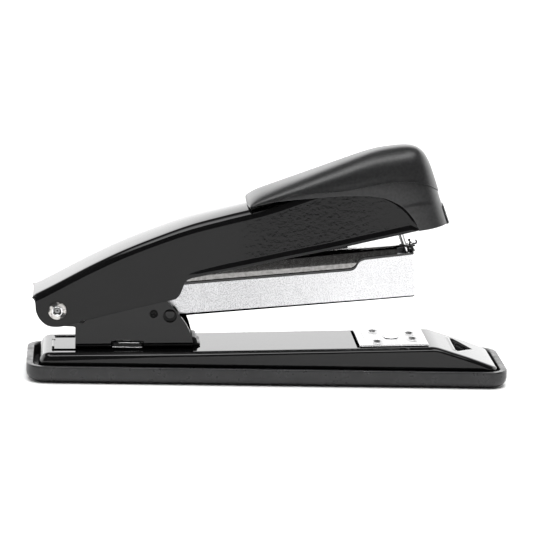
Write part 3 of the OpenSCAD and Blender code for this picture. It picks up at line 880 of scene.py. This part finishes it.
def staple_cover():
    """The cover: straight sides that lean in higher up, a wide round bend and an oval hole in its top."""
    tops = np.array([(-5, 1.5), (-4.2, 3.9), (-2.4, 5.2), (4, 6.6), (14, 10.6), (23, 13.9), (26, COVER_TOP),
                     (COVER_END, COVER_TOP)])
    stations = [-4.98, -4.7, -4.2, -3.4, -2.2, 0, 2.2, 3.4, 4.2, 4.93, 8, 14, 19, 23, 24.5, 26]
    rows = []
    for x in stations + list(np.arange(34, 142, 8.0)) + [COVER_END]:
        top = float(height_on(tops, x))
        foot = min(-0.8, -math.sqrt(max(0.0, EAR_RADIUS ** 2 - x * x)))
        tall = top + 0.8
        bend = min(2.3, tall * 0.3)
        lean = 13 * min(1.0, tall / 14.9)
        side = [(COVER_HALF, foot), (COVER_HALF, (foot - 0.8) / 2), (COVER_HALF, -0.8 + tall * 0.3)]
        low = min(8.2, -0.8 + tall * 0.6)
        high = top - bend * (1 - math.sin(math.radians(lean)))
        y, z = COVER_HALF, low
        side.append((y, z))
        steps = 6
        dz = (high - low) / steps
        for k in range(steps):
            y -= dz * math.tan(math.radians(lean * min(1.0, 0.55 + 0.12 * k)))
            z += dz
            side.append((y, z))
        centre = y - bend * math.cos(math.radians(lean))
        side += [(centre + bend * math.cos(a), top - bend + bend * math.sin(a))
                 for a in np.radians(np.linspace(lean, 90, 12)[1:])]
        rows.append(both_halves(x, side + [(centre / 2, top)], top, in_magazine))
    body = thicken(loft("cover_body", rows, sharp=40), COVER_SHEET)
    oval = arc((123, 0), 2.2, -90, 90, 14) + arc((120.2, 0), 2.2, 90, 270, 14)
    cut(body, extrude("oval", oval, (11, 17), in_magazine))
    cut(body, cross_hole(PIVOT.x, PIVOT.z, PIVOT_HOLE_R))
    break_edges(body, 0.15, sharp=45)
    place(body, COVER, "cover", "staple_cover")


def guide_lips():
    """The plate before the blade, with a side rail, a stop and curled lips over its top."""
    plate = extrude("plate", round_corners(rectangle(-6.4, 6.4, -5.5, 12.4), 0.6), (150.85, 151.65),
                    across_magazine)
    break_edges(plate, 0.12)
    parts = [plate]
    for y, path in ((-5.6, [(60.3, 55.6), (60.45, 56.4), (60.75, 56.9), (61.3, 56.9)]),
                    (-3.0, [(60.2, 55.6), (60.4, 57.2), (60.7, 58.2), (61.2, 58.5), (61.5, 58.1)]),
                    (0.0, [(60.1, 55.6), (60.4, 57.4), (61.2, 58.5), (61.8, 58.5), (62.5, 58.8),
                           (62.6, 59.6), (62.1, 60.0)]),
                    (4.6, [(60.0, 55.6), (60.3, 57.0), (60.6, 57.9), (61.2, 58.0)])):
        curl = spline(path, 4)
        rows = [[(x, y + dy, z) for x, z in curl] for dy in (-0.8, -0.3, 0.3, 0.8)]
        lip = thicken(loft("lip", rows, sharp=60), 0.55, 0)
        parts.append(break_edges(lip, 0.15, sharp=60))
    place(join("blade_lips", parts), BLACKENED, "magazine", "blade_guide")
    ball = [(0, -0.6), (0.35, -0.5), (0.55, -0.25), (0.6, 0), (0.55, 0.25), (0.35, 0.5), (0, 0.6)]
    rails = [tube("rail", [(54.9, -6.95, 59.2), (56, -6.95, 58.9), (59.9, -6.95, 58.6), (60.3, -6.9, 57.9),
                           (60.2, -6.4, 56.0)], 0.42),
             turned("knob", ball, Matrix.Translation((54.9, -6.95, 59.25)), sides=20),
             turned("stop", ball, Matrix.Translation((59.5, 0.5, 59.9)), sides=20),
             tube("stop_wire", [(59.5, 0.5, 59.8), (59.9, 0.5, 58.4), (60.4, 0.5, 57.0)], 0.25)]
    place(join("blade_rails", rails), BLACKENED, "magazine", "blade_guide")


def driver_blade():
    """The blade under the handle's nose: a bright face and a dark carrier laid round the CAD's blade."""
    foot = Vector((57.75, 0, 56.9))
    up = Vector((-0.3478, 0, 0.9376))
    out = Vector((0.9376, 0, 0.3478))

    def along_blade(a, y, h):
        return foot + up * h + out * a + Vector((0, y, 0))

    def slab(name, low, high, left, right, half, material):
        ring = round_corners(rectangle(left, right, -half, half), 0.12, 2)
        piece = extrude(name, ring, (low, high), along_blade, sharp=50)
        return place(break_edges(piece, 0.08), material, "handle")

    slab("blade_face", -1.2, 14, -0.4, 0.32, 6.42, BRIGHT)
    slab("blade_front", 2.4, 14, 0.33, 0.75, 6.2, DULL)
    slab("blade_carrier", -0.7, 14, -0.85, -0.41, 6.3, BLACKENED)
    keep_node("driver_blade", BRIGHT, 0.1)


def coil(name, place_at, axis, length, radius, wire, turns):
    """A round wire wound about an axis, with its end turns closed."""
    axis = axis.normalized()
    side = Vector((0, 1, 0))
    other = axis.cross(side)
    steps = int(turns * 14)
    path = []
    for k in range(steps + 1):
        t = k / steps
        along = t - 0.35 / turns * math.sin(2 * math.pi * t)
        a = 2 * math.pi * turns * t
        around = math.cos(a) * side + math.sin(a) * other
        path.append(place_at + axis * (length * along) + radius * around)
    return tube(name, path, wire, 7)


LEAF_SHEET = 0.45


def inner_springs():
    """The pusher's long coil, the anvil's coil, and the two leaf springs."""
    start, stop = in_magazine(18.6, 0, 1.7), in_magazine(81.0, 0, 1.7)
    push = coil("pusher_coil", start, MAG_DIR, (stop - start).length, 2.3, 0.28, 30)
    place(push, SPRING, "magazine", "pusher_spring")
    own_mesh(push)
    top = on_anvil(0, 0, -1.1)
    anvil = coil("anvil_coil", top, -ANVIL_UP, 9.2, 3.5, 0.45, 5)
    place(anvil, SPRING, "base", "anvil_spring")
    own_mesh(anvil)
    lift = leaf("lift_leaf", "lift_spring",
                [(-76, 14.05), (-52.2, 14.65), (-50, 15.8), (-47.8, 18.05), (-42, 24.95), (-40.4, 25.6),
                 (-38.5, 25.7)], 4.0)
    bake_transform(lift)
    press = leaf("handle_leaf", "handle_spring",
                 [(-56, 56.9), (-46, 60.9), (-36, 63.4), (-26, 62.9), (-15, 59.4), (-4, 54.9), (1.5, 54.4),
                  (5, 55.1)], 5.0)
    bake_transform(press)


def leaf(name, node, path, half):
    """A strip of spring steel along a curve, with rounded ends; it stands for that node."""
    line = spline(path, 6)
    rows = []
    for i, (x, z) in enumerate(line):
        ends = min(i, len(line) - 1 - i)
        wide = half * (0.72, 0.9, 0.98, 1.0)[min(ends, 3)]
        rows.append([(x, wide * t, z) for t in (-1, -0.5, 0, 0.5, 1)])
    strip = thicken(loft(name, rows, sharp=60), LEAF_SHEET, 0)
    return place(break_edges(strip, 0.1, sharp=50), SPRING, None, node)


def staples():
    """The strip of staples: many thin wires side by side over the rail."""
    wire, count, first_x = 0.5, 105, 95.5
    bottom = -7.4
    rows = []
    for k in range(count):
        for at, inset in ((0.03, 0.07), (0.14, 0.0), (0.36, 0.0), (0.47, 0.07)):
            x = first_x + wire * k + at
            w, top = 6.45 - inset, -1.4 - inset
            inner = w - wire + inset
            under = top - wire + inset
            ring = [(-w, bottom), (-w, top - 0.35), (-w + 0.35, top), (w - 0.35, top), (w, top - 0.35),
                    (w, bottom), (inner, bottom), (inner, under), (-inner, under), (-inner, bottom)]
            rows.append([tuple(in_magazine(x, y, z)) for y, z in ring])
    strip = loft("staple_wires", rows, closed=True, capped=True, sharp=30)
    return place(strip, STAPLE, "magazine", "staple_strip")


# ---------------------------------------------------------------- handle

# The handle's upper and lower edge from the side, in X and Z. Under the cap the upper one follows the arc
# that its side ends in.
TOP_EDGE = [(-100.1, 35.6), (-91.2, 40.4), (-76.9, 48.5), (-62.6, 55.8), (-48.3, 62.0), (-34.1, 67.5),
            (-19.8, 71.8), (-11.1, 74.2), (-4, 76.2), (4, 79.0), (12, 82.2), (20, 85.0), (30, 86.6),
            (40, 86.4), (48, 84.2), (54, 80.6), (58, 76.6), (61.8, 70.5)]
LOW_EDGE = [(-100.2, 35.6), (-99.7, 34.6), (-99.2, 33.1), (-98.97, 31.4), (-98.85, 29.8), (-98.35, 28.1),
            (-97.6, 26.5), (-96.4, 24.9), (-94.6, 23.4), (-92.4, 22.6), (-89.5, 22.5), (-86.5, 23.0),
            (-81.5, 24.5), (-62.1, 29.9), (-48, 33.5), (-41.2, 35.1),
            (-39.4, 36.1), (-38.1, 37.9), (-37.2, 40.6), (-36.2, 42.9), (-34.4, 44.3), (-30, 45.4),
            (-11.8, 49.5), (7.5, 54.0), (24.1, 57.7), (38.8, 61.3), (53.4, 64.8), (61.8, 66.9)]
HANDLE_HALF = 12.5
HANDLE_SHEET = 1.1
BEND_FLAT_TILT = math.radians(42)


def handle_frame():
    """The folded handle: side walls with a beaded lower edge under a top that grows rounder."""
    top = spline(TOP_EDGE, 8)
    low = spline(LOW_EDGE, 8)
    bead = [(0, -0.35), (0.12, -0.08), (0.35, 0.03), (0.75, 0.05), (1.15, 0.05), (1.5, 0.0), (1.9, -0.09),
            (2.5, -0.22), (3.1, -0.32), (3.7, -0.37), (4.4, -0.4)]
    stations = np.concatenate([np.linspace(-100.1, -98.7, 24), np.linspace(-98.6, -88, 36),
                               np.linspace(-87.5, -45, 48),
                               np.linspace(-44.6, -30, 46), np.linspace(-29, 61.7, 80)])
    rows = []
    for x in stations:
        high = float(height_on(top, x))
        foot = float(height_on(low, x))
        tall = high - foot
        radius = min(float(np.interp(x, (-90, -50, -12, 20), (2.9, 3.3, 3.9, 4.4))), tall * 0.45)
        crown = min(float(np.interp(x, (-90, -40, -10), (0.05, 0.25, 0.6))), tall * 0.1)
        flat = min(float(np.interp(x, (-100, -96, -30, -5), (0.1, 0.42, 0.35, 0.0))), tall * 0.1)
        scale = min(1.0, max(0.0, (tall - radius - crown - flat) * 0.8 / bead[-1][0]))
        flare = float(np.interp(x, (-97, -88, -40, -20), (0.0, 0.35, 0.35, 1.0)))
        side = [(HANDLE_HALF + (0.4 + out) * flare * scale, foot + up * scale) for up, out in bead]
        z0 = side[-1][1]
        z1 = high - radius - crown - flat * math.cos(BEND_FLAT_TILT)
        side += [(HANDLE_HALF, z0 + (z1 - z0) * t) for t in (0.12, 0.3, 0.5, 0.7, 0.88)]
        for inward, upward, angles in ((0, 0, (0, 12, 24, 33, 39, 42)),
                                       (flat * 0.67, flat * 0.74, (42.5, 45, 51, 60, 72, 84))):
            side += [(HANDLE_HALF - radius - inward + radius * math.cos(a),
                      z1 + upward + radius * math.sin(a)) for a in np.radians(angles)]
        y1, z2 = side[-1]
        side += [(y1 * (1 - t), z2 + (high - z2) * (1 - (1 - t) ** 2)) for t in (0.2, 0.4, 0.6, 0.8)]
        rows.append(both_halves(x, side, high))
    handle = thicken(loft("handle_channel", rows, sharp=40), HANDLE_SHEET)
    cut(handle, extrude("opening", rectangle(47, 66, -10, 10), (60, 95), upright))
    break_edges(handle, 0.15, sharp=40)
    place(handle, HANDLE_PAINT, "handle", "handle_frame")
    handle.data.materials.append(HANDLE_EDGE)
    for poly in handle.data.polygons:
        at = poly.center / MM
        if at.z < float(height_on(low, at.x)) + 3.6 or at.z > float(height_on(top, at.x)) - 5:
            poly.material_index = 1
    return handle


# Each pair is a point of the cap's lower border on the side and the point above it on its crest.
CAP_PAIRS = [((-10.0, 75.7), (-10.9, 75.4)), ((-8.8, 76.0), (-10.0, 77.2)), ((-5, 76.9), (-6.6, 79.6)),
             ((1.7, 78.2), (0.3, 82.6)), ((12.3, 79.5), (11.8, 87.2)), ((27.5, 81.0), (27.8, 93.6)),
             ((39.3, 81.3), (41, 98.6)), ((46.6, 80.4), (50.6, 100.7)), ((51.8, 78.3), (58.0, 101.2)),
             ((54.8, 76.4), (62.6, 99.4)), ((57, 74.3), (65.9, 95.0)), ((59, 71.9), (69.2, 86.8)),
             ((60.8, 69.0), (72.6, 77.0)), ((61.8, 66.8), (75.6, 68.9))]
SEAM = [(-1, 77.8), (3.4, 79.3), (8.2, 81.0), (17.6, 82.2), (27.5, 83.0), (36, 84.7), (45.1, 86.6),
        (53, 87.5), (60.8, 87.2), (64.4, 86.2), (68.2, 84.2), (71, 82.0)]
CAP_HALF = 13.05


def cap_sections():
    """The cap's sections: where each starts, which way it rises, its height and its fullness."""
    border = spline([a for a, b in CAP_PAIRS], 8)
    crest = spline([b for a, b in CAP_PAIRS], 8)
    fullness = spline([(i, n) for i, n in enumerate(
        (2.2, 2.3, 2.5, 2.7, 2.8, 2.8, 2.7, 2.6, 2.5, 2.4, 2.35, 2.3, 2.2, 2.1))], 8)[:, 1]
    return border, crest, fullness


def seam_share(base, rise, seam):
    """How far up a section the seam crosses it, as a share of the section's height."""
    share = np.linspace(0, 1, 200)
    x = base[0] + rise[0] * share
    z = base[1] + rise[1] * share
    above = z - np.interp(x, seam[:, 0], seam[:, 1])
    crossing = np.where(above >= 0)[0]
    return float(share[crossing[0]]) if len(crossing) else 1.0


def cap_point(base, rise, power, angle, inset=0.0):
    """A point of a section: angle 0 is its foot on the side and 90 degrees its crest."""
    across = max(0.0, math.cos(angle)) ** (2 / power)
    up = max(0.0, math.sin(angle)) ** (2 / power)
    length = math.hypot(rise[0], rise[1])
    grow = max(0.0, 1 - inset / max(length, 0.5))
    return (base[0] + rise[0] * up * grow, (CAP_HALF - inset) * across, base[1] + rise[1] * up * grow)


def angle_at(share, power):
    """The angle at which a section reaches a share of its height."""
    return math.asin(min(1.0, max(0.0, share)) ** (power / 2))


def handle_cap():
    """The cap's upper body, which runs over the crest from seam to seam with a lip at its edge."""
    border, crest, fullness = cap_sections()
    seam = spline(SEAM, 6)
    rows = []
    for base, top, power in zip(border, crest, fullness):
        rise = top - base
        share = seam_share(base, rise, seam) if base[0] > 0 else 0.0
        if share > 0.985:
            break
        start = angle_at(share, power)
        angles = start + (math.pi / 2 - start) * np.linspace(0, 1, 30) ** 1.15
        lip = 0.14 * min(1.0, max(0.0, (66 - base[0]) / 12)) if share > 0 else 0.0
        side = [cap_point(base, rise, power, a, -lip * max(0.0, 1 - k / 1.5)) for k, a in enumerate(angles)]
        rows.append([(x, -y, z) for x, y, z in side] + side[-2::-1])
    cap = loft("cap_body", rows, sharp=50)
    sheet_metal(cap, 1.6, edge=0.25, sharp=50)
    return place(cap, CAP, "handle", "handle_cap")


def cap_band():
    """The cap's lower band, half a millimetre inside the upper body, with a crease round the nose."""
    border, crest, fullness = cap_sections()
    seam = spline(SEAM, 6)
    crease = spline([(50, 76.0), (54.6, 76.9), (58, 77.9), (63, 78.6), (74, 78.9)], 6)
    rows = []
    for base, top, power in zip(border, crest, fullness):
        if base[0] < 0.8:
            continue
        rise = top - base
        share = min(1.0, seam_share(base, rise, seam) + 0.04)
        step = seam_share(base, rise, crease) if base[0] > 50 else 0.0
        side = []
        for t in np.linspace(0, 1, 26):
            part = share * t
            low = 1 / (1 + math.exp(min(60.0, max(-60.0, (part - step) * 90)))) if step else 0.0
            side.append(cap_point(base, rise, power, angle_at(part, power), 0.36 - 0.2 * low))
        rows.append(side)
    near = loft("band_near", [[(x, -y, z) for x, y, z in row] for row in rows], sharp=50)
    far = loft("band_far", rows, sharp=50)
    band = join("cap_lower_band", [near, far])
    weld(band.data, 2e-6)
    sheet_metal(band, 0.9, edge=0.15, sharp=50)
    return place(band, CAP, "handle", "cap_band")


def nose_strip():
    """The thin plate in front of the cap's nose, turned under its lower edge."""
    crest = cap_sections()[1]
    nose = [(x, z) for x, z in crest if x > 66 and z < 76]
    path = [(x + 0.3, z + 0.1) for x, z in nose] + [(nose[-1][0] + 0.1, 68.3), (72, 67.7), (66, 66.9)]
    path = [tuple(p) for p in spline(path, 3)]
    rows = []
    for y in np.linspace(-4, 4, 13):
        back = 0.5 * (y / 4) ** 2
        rows.append([(x - back, y, z) for x, z in path])
    strip = loft("nose_strip", rows, sharp=50)
    sheet_metal(strip, 0.35, edge=0.1, sharp=50)
    return place(strip, CAP, "handle", "nose_plate")


# ---------------------------------------------------------------- stage, camera and lights


def stage():
    """A plain white floor."""
    f = Finish("floor_paper", grey(0.92), roughness=0.9)
    rows = [[(x, y, 0) for x in (-4000, 4000)] for y in (-4000, 4000)]
    floor = loft("floor", rows)
    paint(floor, f.material)


def camera():
    """A long lens a little above the stapler and slightly behind its middle, rolled by 2 degrees."""
    azimuth = math.radians(-4.765)
    elevation = math.radians(13.452)
    roll = math.radians(2.094)
    distance = 1.0581
    target = Vector((-0.001249, 0, 0.047233))
    back = Vector((math.sin(azimuth) * math.cos(elevation), -math.cos(azimuth) * math.cos(elevation),
                   math.sin(elevation)))
    right = (-back).cross(Vector((0, 0, 1))).normalized()
    up = right.cross(-back)
    image_right = math.cos(roll) * right + math.sin(roll) * up
    image_up = math.cos(roll) * up - math.sin(roll) * right
    data = bpy.data.cameras.new("camera")
    data.lens = 167.59
    data.sensor_width = 36
    data.clip_start = 0.01
    view = add_object("camera", data)
    rotation = Matrix((image_right, image_up, back)).transposed().to_4x4()
    view.matrix_world = Matrix.Translation(target + back * distance) @ rotation
    bpy.context.scene.camera = view


def world():
    """Studio surroundings: a bright backdrop behind, a soft band high in front, dark between."""
    sky = bpy.data.worlds.new("surroundings")
    bpy.context.scene.world = sky
    sky.use_nodes = True
    tree = sky.node_tree
    heading = add_node(tree, "TexCoord", {}).outputs["Generated"]
    split = add_node(tree, "SeparateXYZ", {"Vector": heading})

    def bands(stops):
        node = add_node(tree, "ValToRGB", {"Fac": split.outputs["Z"]})
        ramp = node.color_ramp
        while len(ramp.elements) < len(stops):
            ramp.elements.new(0.5)
        for element, (degrees, level) in zip(ramp.elements, stops):
            element.position = math.sin(math.radians(degrees))
            element.color = (*grey(level), 1)
        return node.outputs[0]

    behind = add_node(tree, "MapRange", {"Value": split.outputs["Y"], "From Min": -0.25, "From Max": 0.35},
                      interpolation_type="SMOOTHSTEP")
    both = add_node(tree, "Mix", {"Factor": behind.outputs[0], "A": bands(FRONT_BANDS),
                                  "B": bands(BACK_BANDS)}, data_type="RGBA")
    tree.links.new(both.outputs["Result"], tree.nodes["Background"].inputs["Color"])
    tree.nodes["Background"].inputs["Strength"].default_value = BACKDROP


# Levels round the stapler, by degrees above the horizon, as shares of the backdrop's.
BACKDROP = 2.6
FRONT_BANDS = [(0, 0.05), (58, 0.04), (61, 2.2), (78, 2.2), (81, 0.05)]
BACK_BANDS = [(0, 1), (31, 1), (36, 0.08), (79, 0.05)]


def sun():
    data = bpy.data.lights.new("overhead", "SUN")
    data.energy = 1.6
    data.angle = math.radians(20)
    lamp = add_object("overhead", data)
    lamp.visible_glossy = False
    lamp.rotation_euler = (math.radians(-4), math.radians(3), 0)


base_pad()
base_shell()
anvil_plate()
anvil_post()
bracket()
bracket_details()
pivot()
channel()
staple_cover()
guide_lips()
driver_blade()
inner_springs()
staples()
handle_frame()
handle_cap()
cap_band()
nose_strip()
for name in ("staple_rail", "rod_front_plate", "rod_rear_plate", "pivot_spacers"):
    keep_node(name, ZINC)
for name in ("base_rivets", "guide_rod", "driver_rivet"):
    keep_node(name, BRIGHT, 0.1)
keep_node("pusher", PUSHER)
stage()
camera()
world()
sun()
bpy.context.scene.view_settings.view_transform = "Standard"
